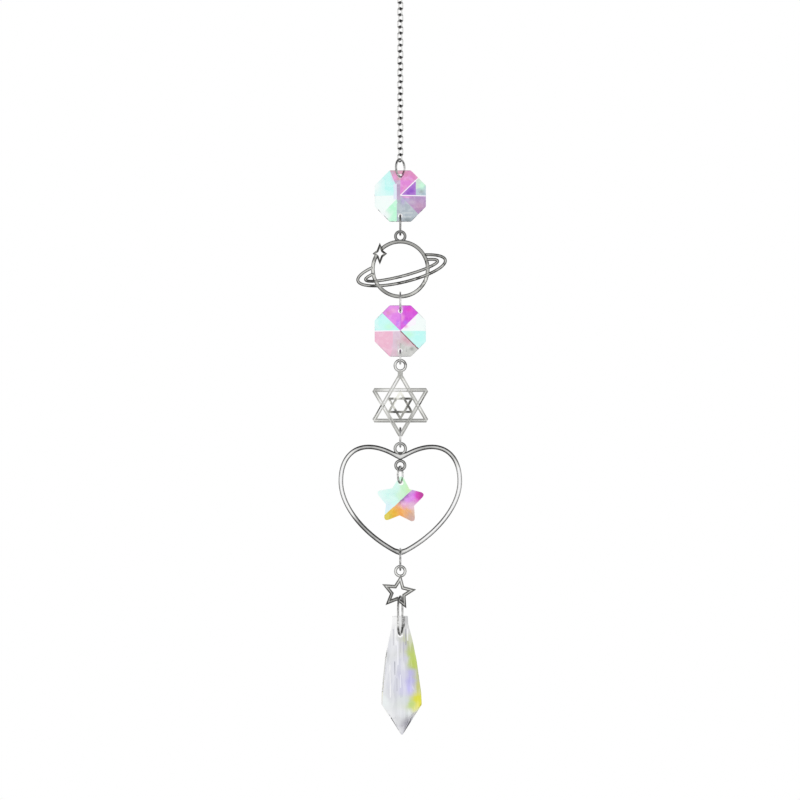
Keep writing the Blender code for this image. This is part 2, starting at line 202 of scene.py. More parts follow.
def newMaterial(name):
    material = bpy.data.materials.new(name)
    material.use_nodes = True
    nodes = material.node_tree.nodes
    return material, nodes, material.node_tree.links, nodes["Principled BSDF"]


def objectPlace(nodes):
    return nodes.new("ShaderNodeTexCoord").outputs["Object"]


def objectNoise(nodes, links, scale, detail, roughness=0.5):
    noise = nodes.new("ShaderNodeTexNoise")
    noise.inputs["Scale"].default_value = scale
    noise.inputs["Detail"].default_value = detail
    noise.inputs["Roughness"].default_value = roughness
    links.new(objectPlace(nodes), noise.inputs["Vector"])
    return noise.outputs["Fac"]


# A value that is written on the mesh
def written(nodes, name, output="Fac"):
    attribute = nodes.new("ShaderNodeAttribute")
    attribute.attribute_name = name
    return attribute.outputs[output]


def separated(nodes, links, vector):
    axes = nodes.new("ShaderNodeSeparateXYZ")
    links.new(vector, axes.inputs["Vector"])
    return axes.outputs


# Brings a value from one span to another
def mapped(nodes, links, value, fromSpan=(0.0, 1.0), toSpan=(0.0, 1.0), clamped=True):
    ranged = nodes.new("ShaderNodeMapRange")
    ranged.clamp = clamped
    for name, reach in (("From", fromSpan), ("To", toSpan)):
        ranged.inputs[name + " Min"].default_value = reach[0]
        ranged.inputs[name + " Max"].default_value = reach[1]
    links.new(value, ranged.inputs["Value"])
    return ranged.outputs["Result"]


# A calculation with numbers and with the outputs of other nodes
def computed(nodes, links, operation, *values):
    step = nodes.new("ShaderNodeMath")
    step.operation = operation
    for socket, value in zip(step.inputs, values):
        if isinstance(value, float):
            socket.default_value = value
        else:
            links.new(value, socket)
    return step.outputs["Value"]


def multiplied(nodes, links, first, second):
    product = nodes.new("ShaderNodeMix")
    product.data_type = "RGBA"
    product.blend_type = "MULTIPLY"
    product.clamp_result = True
    product.inputs["Factor"].default_value = 1.0
    links.new(first, product.inputs["A"])
    links.new(second, product.inputs["B"])
    return product.outputs["Result"]


def colourRamp(nodes, links, factor, stops):
    ramp = nodes.new("ShaderNodeValToRGB")
    elements = ramp.color_ramp.elements
    elements[0].position, elements[0].color = stops[0][0], (*stops[0][1], 1)
    elements[1].position, elements[1].color = stops[-1][0], (*stops[-1][1], 1)
    for at, colour in stops[1:-1]:
        element = elements.new(at)
        element.color = (*colour, 1)
    links.new(factor, ramp.inputs["Fac"])
    return ramp.outputs["Color"]


# Colours the metal with its tone, times the painted shade and highlight that is written on the mesh
def tonedMetal(nodes, links, tone, shader):
    grey = mapped(nodes, links, written(nodes, "paintedShading"), (-1.0, 1.0), (1.9, 0.1))
    links.new(multiplied(nodes, links, tone, grey), shader.inputs["Base Color"])
    shader.inputs["Metallic"].default_value = 1.0


# Silver with painted highlight and painted shade. Each stop is a distance from the casting's middle plane, or
# how far a place faces the front or the back, and the tone painted there.
def castMetal(name, stops, wander, gloss, wearScale=420, spreading=0.0, byFacing=False):
    material, nodes, links, shader = newMaterial(name)
    if byFacing:
        height = written(nodes, "facing")
    else:
        height = computed(nodes, links, "ABSOLUTE", separated(nodes, links, objectPlace(nodes))["Y"])
    wear = objectNoise(nodes, links, wearScale, detail=5, roughness=0.6)
    uneven = mapped(nodes, links, wear, (0.3, 0.7), (-wander, wander))
    moved = computed(nodes, links, "ADD", height, uneven)
    # The painted shade written on the mesh also moves the stops, by the spreading
    sunk = computed(nodes, links, "MULTIPLY_ADD", written(nodes, "paintedShading"), -spreading, moved)
    depth = mapped(nodes, links, sunk, (0.0, mm))
    tone = colourRamp(nodes, links, depth, [(at / mm, shade(code)) for at, code in stops])
    tonedMetal(nodes, links, tone, shader)
    smooth = objectNoise(nodes, links, scale=1500, detail=2)
    rough = mapped(nodes, links, smooth, toSpan=(gloss, gloss + 0.2))
    links.new(rough, shader.inputs["Roughness"])
    return material


def wireMetal(name, bright, dull, roughness):
    material, nodes, links, shader = newMaterial(name)
    noise = objectNoise(nodes, links, scale=1400, detail=3)
    tone = colourRamp(nodes, links, noise, [(0.35, shade(dull)), (0.65, shade(bright))])
    tonedMetal(nodes, links, tone, shader)
    shader.inputs["Roughness"].default_value = roughness
    return material


# Clear glass whose facets carry the coating's tints with painted reflections, deeper and paler from one
# painted glint to the next
def coatedCrystal(name, bend, film, glintSize, lively):
    material, nodes, links, shader = newMaterial(name)
    sized = nodes.new("ShaderNodeMapping")
    sized.inputs["Scale"].default_value = [1 / size for size in glintSize]
    links.new(objectPlace(nodes), sized.inputs["Vector"])
    glints = nodes.new("ShaderNodeTexVoronoi")
    glints.inputs["Scale"].default_value = 1.0
    links.new(sized.outputs["Vector"], glints.inputs["Vector"])
    strength = mapped(nodes, links, glints.outputs["Color"], (0.2, 0.8), (1 - lively, 1 + lively))
    deepened = nodes.new("ShaderNodeGamma")
    links.new(written(nodes, "facetTint", "Color"), deepened.inputs["Color"])
    links.new(strength, deepened.inputs["Gamma"])
    links.new(deepened.outputs["Color"], shader.inputs["Base Color"])
    shader.inputs["Roughness"].default_value = 0.0
    shader.inputs["IOR"].default_value = bend
    shader.inputs["Transmission Weight"].default_value = 1.0
    shader.inputs["Thin Film Thickness"].default_value = film
    shader.inputs["Thin Film IOR"].default_value = 1.38
    return material


# Each casting's stops paint its highlights and its shade: lighter and darker bands by depth, or by how far a
# place faces the front
planetSilver = castMetal(
    "planetSilver", [(0.56 * mm, "#3a3a38"), (0.8 * mm, "#6a6a67"), (0.94 * mm, "#deded9")],
    wander=0.2 * mm, gloss=0.25, byFacing=True,
)
loopSilver = castMetal(
    "loopSilver", [(0.16 * mm, "#484846"), (0.3 * mm, "#828280"), (0.42 * mm, "#e0e0dd")],
    wander=0.12 * mm, gloss=0.25,
)
innerSilver = castMetal(
    "innerSilver", [(0.2 * mm, "#3c3c3a"), (0.42 * mm, "#8c8c88"), (0.56 * mm, "#dcdcd4")],
    wander=0.24 * mm, gloss=0.3,
)
hexagramSilver = castMetal(
    "hexagramSilver", [
        (0.3 * mm, "#646462"), (0.42 * mm, "#f4f4f0"), (0.58 * mm, "#f4f4f0"), (0.70 * mm, "#a8a8a4"),
        (0.95 * mm, "#d0d0cc"),
    ],
    wander=0.12 * mm, gloss=0.25,
)
starSilver = castMetal(
    "starSilver", [
        (0.3 * mm, "#3a3a38"), (0.42 * mm, "#f0f0ec"), (0.58 * mm, "#f0f0ec"), (0.70 * mm, "#5c5c59"),
        (0.95 * mm, "#9c9c98"),
    ],
    wander=0.12 * mm, gloss=0.25,
)
heartSilver = castMetal(
    "heartSilver", [(0.42 * mm, "#585856"), (0.56 * mm, "#8c8c8a"), (0.66 * mm, "#f6f6f4")],
    wander=0.08 * mm, gloss=0.18, wearScale=110, spreading=0.12 * mm,
)
steel = wireMetal("brightSteel", bright="#e4e4e2", dull="#8e8e8c", roughness=0.2)
# A lighter copy of the same steel, painted light for the rings that look brighter
paintedLitSteel = wireMetal("paintedLitSteel", bright="#fafaf8", dull="#c4c4c2", roughness=0.25)


# Bright links with a painted highlight in the middle of each and painted shade where one lies in the next.
# The links swing from side to side by the sway.
def chainMetal(name, firstCentre, pitch, sway):
    material, nodes, links, shader = newMaterial(name)
    axes = separated(nodes, links, objectPlace(nodes))
    along = mapped(nodes, links, axes["Z"], (firstCentre, firstCentre - pitch), clamped=False)
    jointShade = computed(nodes, links, "PINGPONG", along, 0.5)
    swing = computed(nodes, links, "PINGPONG", computed(nodes, links, "ADD", along, 0.5), 1.0)
    zigzag = mapped(nodes, links, swing, toSpan=(-sway, sway))
    aside = computed(nodes, links, "ABSOLUTE", computed(nodes, links, "ADD", axes["X"], zigzag))
    outside = mapped(nodes, links, aside, (0.22 * mm, 0.6 * mm), (0.0, 0.25))
    inner = computed(nodes, links, "SUBTRACT", jointShade, outside)
    noise = objectNoise(nodes, links, scale=700, detail=3)
    uneven = computed(nodes, links, "MULTIPLY_ADD", noise, 0.3, inner)
    # Painted highlight at each link's middle, painted shade towards the joints
    stops = [(0.2, "#f6f6f4"), (0.33, "#c0c0be"), (0.42, "#858584"), (0.58, "#5c5c5b")]
    tone = colourRamp(nodes, links, uneven, [(at, shade(code)) for at, code in stops])
    links.new(tone, shader.inputs["Base Color"])
    shader.inputs["Metallic"].default_value = 1.0
    shader.inputs["Roughness"].default_value = 0.2
    return material


rainbow = coatedCrystal(
    "rainbowCrystal", bend=1.45, film=380.0, glintSize=(1.1 * mm, 9 * mm, 1.1 * mm), lively=0.12
)
softRainbow = coatedCrystal(
    "softRainbowCrystal", bend=1.2, film=380.0, glintSize=(1.3 * mm, 9 * mm, 1.3 * mm), lively=0.12
)
clear = coatedCrystal(
    "clearCrystal", bend=1.15, film=0.0, glintSize=(0.9 * mm, 12 * mm, 5 * mm), lively=0.22
)
print("materials made")


# Rings and chain

# The cut end of a wire, in edit mode, ready to be drawn round
def wireEnd(wire, across, sides):
    bpy.ops.mesh.primitive_circle_add(vertices=sides, radius=wire / 2, fill_type="NGON")
    piece = bpy.context.active_object
    placed(piece, x=across)
    editing(everything=True)
    return piece


def spun(angle, steps, z=0.0):
    bpy.ops.mesh.spin(steps=steps, angle=angle, center=(0, 0, z), axis=(0, 1, 0))


# A wire ring in the XZ plane with the fine seam where its ends meet, at its right-hand side
def openRing(outer, wire, length=None, steps=48, sides=16, seam=0.06 * mm):
    length = length or outer
    radius = (outer - wire) / 2
    run = (length - outer) / 2
    piece = wireEnd(wire, radius, sides)
    if run:
        pushed((0, 0, run))
        spun(pi, steps // 2, run)
        pushed((0, 0, -2 * run))
        spun(pi, steps // 2, -run)
        pushed((0, 0, run - seam))
    else:
        spun(2 * pi - seam / radius, steps)
    bpy.ops.mesh.select_all(action="SELECT")
    bpy.ops.mesh.normals_make_consistent(inside=False)
    done()
    bpy.ops.object.shade_smooth_by_angle(angle=radians(50))
    return piece


rings = {  # node, centre height, outer width, wire, turn from facing the viewer, length if it is an oval
    "hangingRing": ("hanging_ring", -4.8, 12.0, 1.2, 0, None),
    "ringTopChain": ("ring_top_chain", -11.7, 6.2, 0.7, 90, None),
    "ringChainBead": ("ring_chain_bead", -80.8, 6.2, 0.7, 61, None),
    "ringBeadPlanet": ("ring_bead_planet", -98.7, 6.8, 0.7, 90, None),
    "ringPlanetBead": ("ring_planet_bead", -122.7, 6.8, 0.7, 90, None),
    "ringBeadHexagram": ("ring_bead_hexagram", -139.9, 4.9, 0.7, 90, None),
    "ringHexagramHeart": ("ring_hexagram_heart", -164.98, 6.65, 0.7, 90, None),
    "ringHeartStar": ("ring_heart_star", -176.63, 5.8, 0.7, 73, None),
    "ringHeartSmallStar": ("ring_heart_small_star", -203.1, 7.3, 0.7, 90, None),
    "ringSmallStarIcicle": ("ring_small_star_icicle", -220.64, 7.3, 0.7, 78, 12.7),
}
ringShading = {  # right of the middle and height, in millimetres, and how dark the painted shade is, below zero a painted highlight
    "ringBeadPlanet": [((0, -96), 0.3), ((0, -101.4), 0.5)],
    "ringChainBead": [
        ((-1, -79), 0.5), ((1, -79), 0.3), ((1.2, -81), -0.3), ((-1.2, -81), 0.4), ((0, -83.6), -0.7),
    ],
    "ringHeartStar": [((0, -174), 0.4), ((-0.6, -176.6), -0.3), ((0.6, -176.6), -0.7), ((0, -179.4), 0.4)],
    "ringSmallStarIcicle": [
        ((0, -214.5), 0.5), ((0, -219), 0.2), ((0, -222.5), -0.8), ((0, -225.5), 0.7), ((0, -227), 0.4),
    ],
}
# These rings take the painted-light copy of the steel
paintedLitRings = ("ringPlanetBead", "ringBeadHexagram", "ringHexagramHeart")
for name, (node, height, outer, wire, turn, length) in rings.items():
    ring = openRing(outer * mm, wire * mm, length * mm if length else None)
    placed(ring, z=height * mm, turn=radians(turn))
    # Painted shade and highlights along some rings
    if name in ringShading:
        shadingPainted(ring, ringShading[name])
    handedOver(ring, name, node, paintedLitSteel if name in paintedLitRings else steel)
print("rings made")

chain = {
    "links": 34,
    "firstCentre": -14.9 * mm,
    "pitch": 1.9 * mm,
    "width": 2.2 * mm,
    "wire": 0.5 * mm,
    "turn": 45,
    "gap": 0.12 * mm,
    "sway": 0.14 * mm,
    "shadeSway": -0.24 * mm,
    "seam": 0.03 * mm,
}
linkLength = chain["pitch"] + chain["gap"] + 2 * chain["wire"]
linkMetal = chainMetal("chainMetal", chain["firstCentre"], chain["pitch"], chain["shadeSway"])
firstLink = openRing(chain["width"], chain["wire"], linkLength, steps=16, sides=10, seam=chain["seam"])
for n in range(chain["links"]):
    link = copyOf(firstLink)
    side = -1 if (chain["links"] - n) % 2 else 1
    height = chain["firstCentre"] - n * chain["pitch"]
    placed(link, x=side * chain["sway"], z=height, turn=radians(side * chain["turn"]))
    handedOver(link, f"chainLink{n + 1:02d}", f"chain_link_{n + 1:02d}", linkMetal)
bpy.data.objects.remove(firstLink)
print("chain made")


# Crystals

# Cuts flat facets on both faces. Each slope is an angle round the middle, a fall, and where it starts.
def faceted(piece, slopes):
    only(piece)
    editing()
    for side in (-1, 1):
        for angle, fall, reach, depth in slopes:
            bpy.ops.mesh.select_all(action="SELECT")
            outward = Vector((fall * cos(angle), side, fall * sin(angle)))
            at = Vector((reach * cos(angle), side * depth, reach * sin(angle)))
            bpy.ops.mesh.bisect(plane_co=at, plane_no=outward, use_fill=True, clear_outer=True)
    done()


# Divides the facets along a plane, for tints that meet in the middle of one
def split(piece, normal, at=(0, 0, 0)):
    only(piece)
    editing(everything=True)
    bpy.ops.mesh.bisect(plane_co=at, plane_no=normal)
    done()


# Divides the facets at distances from the origin along the normal, in millimetres
def splitAt(piece, normal, reaches):
    for reach in reaches:
        split(piece, normal, normal * (reach * mm))


bead = {
    "acrossFlats": 16.0 * mm,
    "depth": 6.0 * mm,
    "rim": 1.2 * mm,
    "tableReach": 5.4 * mm,
    "middle": 4.85 * mm,
    "hole": 1.4 * mm,
    "holeEdge": 1.1 * mm,
    "ridge": 0.3 * mm,
    "upperCentre": -89.6 * mm,
    "lowerCentre": -131.75 * mm,
}
clearTint = [1.0, 1.0, 1.0]
beadFront, crystalFront = -0.5, -0.2  # a facet is tinted when the Y of its normal is below this
rightward, upward = Vector((1, 0, 0)), Vector((0, 0, 1))
hues = {
    "violet": "#b076d2", "rose": "#e692dc", "dusk": "#cdb8d0", "ice": "#c9fcf7", "frost": "#dafdf9",
    "pearl": "#f6fffc", "mint": "#c6fddc", "ash": "#bac2ca", "plum": "#b796c4", "mist": "#bed0da",
    "moss": "#d0e8d6", "blush": "#e498c8", "clay": "#dca8b8", "magenta": "#d956dc", "orchid": "#e88eec",
    "shell": "#f2c0d6", "dove": "#dac4ca", "lilac": "#e2ccdc", "fog": "#d2d2ce", "bright": "#fff2fc",
    "glint": "#fdf8ff", "steel": "#9aa2a6", "wine": "#8c5262", "stem": "#d27ce6", "haze": "#e6ecfa",
    "heather": "#c2aac8", "cloud": "#cad1d5", "smoke": "#a4a6a2", "petal": "#f2a8e2", "grape": "#8e48c4",
    "rosewood": "#c49abc", "fuchsia": "#ea4cd0", "flare": "#c878f4", "blossom": "#e0c2d0",
    "lavender": "#b8a8d4",
}
# The hues of sixteen sectors, anticlockwise from the right: in the middle, outside it, and the painted
# highlight and shade lines on the ridges.
# Then painted reflections of the far facets: bands as left, right, low and high, and soft ones as middle and
# size.
upperHues = {
    "middle": "violet violet rose rose dusk ice ice frost pearl pearl mint mint ash ash plum plum",
    "outside": "mist moss blush blush clay ice frost frost pearl pearl mint mint ash ash plum plum",
    "ridges": {0: "glint", 45: "bright"},
    "bands": [
        (-2.1, -1.1, -1.2, 3.7, "haze"), (-1.1, 0, -1.4, 3.7, "heather"), (-1, 0, -8, -1.4, "ash"),
        (0.4, 4, -5.6, -5.1, "cloud"), (0.4, 3.4, -6.8, -6.3, "cloud"),
    ],
    "soft": [
        (3.5, 1.5, 0.9, 0.8, "grape"), (2.4, 0.8, 0.5, 0.4, "grape"), (-1.8, 5.8, 0.7, 1.1, "petal"),
        (-2.4, 7.2, 0.5, 0.5, "dusk"), (1.5, 5.3, 0.7, 0.5, "petal"), (3.2, 5.6, 0.8, 0.5, "rose"),
        (1.2, 2.4, 0.4, 0.8, "blush"), (0.8, 7.4, 1.4, 0.5, "clay"), (6.6, 1.4, 0.8, 0.8, "steel"),
        (6.8, 3.2, 0.9, 1.2, "mint"), (-7.6, 3, 1.4, 2.4, "pearl"), (-3, 2.4, 1.4, 1.6, "ice"),
        (-5.6, -5.6, 2, 1.4, "glint"), (-4.6, -6.4, 1.4, 1, "pearl"), (-2.4, -3.2, 0.9, 1.2, "mint"),
        (0.8, -1.6, 0.7, 1.2, "lavender"), (2.2, -7.6, 1.6, 0.8, "steel"), (2, -1.3, 1.2, 0.7, "lavender"),
        (2, -0.4, 1.2, 0.3, "petal"), (6, -3.4, 2.2, 1.6, "rosewood"), (3.6, -2, 1, 0.7, "dusk"),
    ],
}
lowerHues = {
    "middle": "pearl glint magenta magenta orchid orchid ice ice shell shell shell blossom dove dove ice ice",
    "outside": "pearl pearl magenta magenta orchid orchid ice ice shell shell shell blossom fog fog ice ice",
    "ridges": {90: "stem", 180: "glint", 315: "wine"},
    "bands": [
        (-2.3, 0, -4.6, -0.2, "lilac"), (-0.2, 0.3, -6.2, -3.9, "smoke"), (0.6, 1.1, -6.4, -4.3, "cloud"),
        (-0.9, -0.4, -5.4, -4.2, "cloud"), (1.7, 2.1, -6.6, -5.2, "smoke"),
    ],
    "soft": [
        (0.2, 6.6, 0.4, 1.4, "glint"), (0.7, 4, 0.5, 1, "petal"), (-2.2, 6.4, 1.2, 0.8, "petal"),
        (-3.8, 5.6, 0.9, 0.7, "blush"), (2.8, 6.6, 1, 0.7, "fuchsia"), (1.6, 2.6, 0.7, 0.7, "flare"),
        (-0.8, 2.4, 0.5, 1, "flare"), (-1.8, 3.6, 0.9, 0.9, "orchid"), (-3.4, 1.3, 1.5, 0.9, "mint"),
        (-7.4, 2, 0.9, 1.8, "frost"), (2.8, -1.1, 1.3, 0.9, "mint"), (5.2, -2, 0.9, 1.6, "ice"),
        (-1.9, -4.8, 1.1, 0.9, "lilac"), (-0.6, -3.6, 0.9, 1.1, "dove"), (-6.4, -1.2, 1.4, 1, "shell"),
        (-0.5, -6.8, 0.5, 1.2, "fog"), (1.7, 1.4, 0.6, 0.5, "petal"), (2.4, -3.4, 0.6, 0.6, "clay"),
        (0.6, -5.4, 1.8, 1.5, "fog"), (3.6, -5.6, 0.6, 0.5, "smoke"), (1.4, -2.4, 0.8, 0.7, "clay"),
        (-4, -5.2, 1.2, 1, "shell"),
    ],
}


# Only the faces in front carry a tint, so it is as deep as two tinted faces would show it
def deepened(tint):
    return [value ** 2 for value in tint]


def octagonBead(name, node, height, reflected):
    corner = bead["acrossFlats"] / 2 / cos(pi / 8)
    slope = (bead["depth"] - bead["rim"]) / 2 / corner
    tableDepth = bead["depth"] / 2 - slope * bead["tableReach"] * cos(pi / 8)
    rimSlope = (tableDepth - bead["rim"] / 2) / (bead["acrossFlats"] / 2 - bead["tableReach"])
    bpy.ops.mesh.primitive_cylinder_add(
        vertices=8, radius=corner, depth=bead["depth"], rotation=(pi / 2, pi / 8, 0)
    )
    piece = bpy.context.active_object
    settled(piece)
    slopes = [((n + 0.5) * pi / 4, slope, 0.0, bead["depth"] / 2) for n in range(8)]
    slopes += [(n * pi / 4, rimSlope, bead["acrossFlats"] / 2, bead["rim"] / 2) for n in range(8)]
    faceted(piece, slopes)
    applied(piece, "BEVEL", width=bead["ridge"] / 2, segments=1, limit_method="ANGLE", angle_limit=radians(8))
    for n in range(8):
        split(piece, Vector((cos(n * pi / 8), 0, sin(n * pi / 8))))
    # Squares of half a millimetre, on whose corners the soft painted reflections are written
    aside = {-bead["middle"] / mm, bead["middle"] / mm, *[step / 2 for step in range(-15, 16)]}
    upright = set(aside)
    for left, right, low, high, hue in reflected["bands"]:
        aside |= {left, right}
        upright |= {low, high}
    splitAt(piece, rightward, sorted(aside))
    splitAt(piece, upward, sorted(upright))
    for angle in reflected["ridges"]:
        across = Vector((-sin(radians(angle)), 0, cos(radians(angle))))
        for side in (-1, 1):
            split(piece, across, across * side * bead["ridge"] / 2)
    holeReach = bead["acrossFlats"] / 2 - bead["holeEdge"] - bead["hole"] / 2
    for side in (1, -1):
        drilled(piece, bead["hole"], side * holeReach, 2 * bead["depth"])
    closedUp(piece)

    layer = piece.data.color_attributes.new(name="facetTint", type="FLOAT_COLOR", domain="CORNER")
    for face in piece.data.polygons:
        centre = Vector((face.center.x, face.center.z)) / mm
        angle = degrees(atan2(centre.y, centre.x)) % 360
        inMiddle = max(abs(centre.x), abs(centre.y)) < bead["middle"] / mm
        hue = reflected["middle" if inMiddle else "outside"].split()[int(angle // 22.5) % 16]
        # Painted reflections over the sector hues: bands, highlight and shade lines on the ridges, and soft
        # spots
        for left, right, low, high, bandHue in reflected["bands"]:
            if left < centre.x < right and low < centre.y < high:
                hue = bandHue
        onRidge = False
        for ridge, ridgeHue in reflected["ridges"].items():
            apart = radians(abs((angle - ridge + 180) % 360 - 180))
            if apart < 1 and centre.length * sin(apart) < bead["ridge"] / 2 / mm:
                hue, onRidge = ridgeHue, True
        softSpots = [] if onRidge else [
            spot for spot in reflected["soft"]
            if degrees(atan2(spot[1], spot[0])) % 360 // 45 == angle // 45
        ]
        for corner in face.loop_indices:
            at = piece.data.vertices[piece.data.loops[corner].vertex_index].co / mm
            tint = Vector(shade(hues[hue]))
            for x, z, wide, tall, softHue in softSpots:
                strength = exp(-((at.x - x) / wide) ** 2 - ((at.z - z) / tall) ** 2)
                tint = tint.lerp(Vector(shade(hues[softHue])), strength)
            colour = deepened(tint) if face.normal.y < beadFront else clearTint
            layer.data[corner].color = (*colour, 1)
    placed(piece, z=height)
    handedOver(piece, name, node, rainbow)


octagonBead("octagonBeadUpper", "octagon_bead_upper", bead["upperCentre"], upperHues)
octagonBead("octagonBeadLower", "octagon_bead_lower", bead["lowerCentre"], lowerHues)
print("octagon beads made")


# A flat polygon that faces the viewer, with its first corner at the top
def flatPolygon(corners, radius, y, turn=0.0):
    bpy.ops.mesh.primitive_circle_add(
        vertices=corners, radius=radius, fill_type="NGON", location=(0, y, 0), rotation=(pi / 2, turn, 0)
    )
    piece = bpy.context.active_object
    settled(piece)
    return piece


def flatStar(tip, notch, y):
    piece = flatPolygon(10, tip, y)
    chosen(piece, lambda corner: corner.index % 2)
    resized((notch / tip, 1, notch / tip), (0, 0, 0))
    done()
    return piece


starCrystal = {
    "centre": -184.73 * mm,
    "tip": 8.4 * mm,
    "notch": 4.6 * mm,
    "depth": 5.0 * mm,
    "rim": 1.6 * mm,
    "tipCut": 1.7 * mm,
    "tilt": -2.5,
    "hole": 1.5 * mm,
    "holeEdge": 2.1 * mm,
    "tintSpread": 0.15 * mm,
}
# Right of the middle and above it in millimetres, and the tint there, on each side of the slanting edge
starAbove = [
    ((1.0, 4.2), "#caf6ce"), ((2.6, 3.8), "#d2f4c4"), ((0.4, 1.4), "#cdf4d4"), ((-1.5, 4), "#dcfbf2"),
    ((-4, 2), "#d8fcf4"), ((-2, 0), "#d6fcf2"), ((-6, 2), "#e4fdf8"), ((-3.4, -2.4), "#dcf4fa"),
]
starBelow = [
    ((2.0, 1.7), "#a070b8"), ((0.4, 0.1), "#7c5a94"), ((3.4, 2.9), "#c898d8"), ((3.8, 1.6), "#e486ec"),
    ((5.2, 1.9), "#e052c4"), ((6.4, 2.0), "#c048a0"), ((2.2, 0.4), "#e29af0"), ((1.2, -1.0), "#ecb0d8"),
    ((3.2, -1.2), "#e8c4dc"), ((-0.8, -2), "#f2b478"), ((0.6, -3.2), "#f8b05c"), ((-1.8, -3.4), "#eebc3c"),
    ((-4, -5), "#dccc4c"), ((3.6, -4), "#dcbaa2"), ((2.4, -3.2), "#eeb47c"), ((4.2, -5.6), "#d4b4a8"),
]
starEdge = {"at": (-0.6 * mm, 0, -0.6 * mm), "across": Vector((-1, 0, 1)).normalized()}
star = flatStar(starCrystal["tip"], starCrystal["notch"], -starCrystal["rim"] / 2)
chosen(star, lambda corner: corner.index % 2 == 0)
bpy.ops.mesh.bevel(offset=starCrystal["tipCut"], segments=5, affect="VERTICES")
bpy.ops.mesh.select_mode(type="FACE")
bpy.ops.mesh.select_all(action="SELECT")
pushed((0, starCrystal["rim"], 0))
picked(star, lambda normal: abs(normal.y) > 0.9)
bpy.ops.mesh.poke(offset=(starCrystal["depth"] - starCrystal["rim"]) / 2)
done()
closedUp(star)
holeReach = starCrystal["tip"] - starCrystal["holeEdge"] - starCrystal["hole"] / 2
drilled(star, starCrystal["hole"], holeReach, 2 * starCrystal["depth"])


# Writes blended tints at every corner of the faces in front, and leaves the others clear
def blended(piece, placesOf, spread):
    layer = piece.data.color_attributes.new(name="facetTint", type="FLOAT_COLOR", domain="CORNER")
    for face in piece.data.polygons:
        for corner in face.loop_indices:
            at = piece.data.vertices[piece.data.loops[corner].vertex_index].co
            tint = clearTint
            if face.normal.y < crystalFront:
                tint = deepened(blendOf(Vector((at.x, at.z)), placesOf(face.center), spread))
            layer.data[corner].color = (*tint, 1)


for reach in range(-6, 7):
    for direction in (upward, rightward):
        splitAt(star, direction, [reach])
split(star, starEdge["across"], starEdge["at"])
above, below = atPlaces(starAbove, shade), atPlaces(starBelow, shade)
blended(
    star,
    lambda at: above if (at - Vector(starEdge["at"])).dot(starEdge["across"]) > 0 else below,
    starCrystal["tintSpread"],
)
placed(star, z=starCrystal["centre"], lean=-radians(starCrystal["tilt"]))
handedOver(star, "starCrystal", "star_crystal", softRainbow)

icicle = {
    "holeCentre": -226.74 * mm,
    "length": 37.4 * mm,
    "holeDrop": 5.9 * mm,
    "hole": 1.6 * mm,
    "ridge": 0.12 * mm,
    "lean": -1.0,
    "turn": 7.5,
    "thin": 0.92,
    "rows": [  # depth below the top, half width and half depth, in millimetres
        (0.0, 2.45, 1.3), (2.4, 2.5, 1.3), (7.6, 3.75, 1.9), (13.8, 4.85, 3.1), (24.0, 6.05, 4.5),
        (27.6, 6.15, 4.7),
    ],
    "shoulder": 3.4 * mm,
    "shoulderShare": 0.75,
    "tintSpread": 0.6 * mm,
}
first = icicle["rows"][0]
bpy.ops.mesh.primitive_circle_add(
    vertices=8, radius=mm / cos(pi / 8), fill_type="NGON", rotation=(0, 0, pi / 8)
)
drop = bpy.context.active_object
settled(drop)
editing(everything=True)
resized((first[1], first[2], 1), (0, 0, 0))
before = first
for row in icicle["rows"][1:]:
    pushed((0, 0, (before[0] - row[0]) * mm))
    resized((row[1] / before[1], row[2] / before[2], 1), (0, 0, 0))
    before = row
# The tip is drawn together below the last row, and then goes to its full length
pushed((0, 0, -5 * mm))
bpy.ops.mesh.merge(type="CENTER")
done()
lastRow = -icicle["rows"][-1][0] * mm
for corner in drop.data.vertices:
    if corner.co.z < lastRow - mm:
        corner.co = (0, 0, -icicle["length"])
    elif abs(corner.co.z - lastRow) < 0.01 * mm and abs(corner.co.x) < before[1] * 0.6 * mm:
        corner.co.x *= icicle["shoulderShare"]
        corner.co.z -= icicle["shoulder"]
closedUp(drop)
placed(drop, z=icicle["holeDrop"], turn=radians(icicle["turn"]))
drop.scale.y = icicle["thin"]
settled(drop)
applied(drop, "BEVEL", width=icicle["ridge"], segments=1, limit_method="ANGLE", angle_limit=radians(12))
drilled(drop, icicle["hole"], 0, icicle["length"])

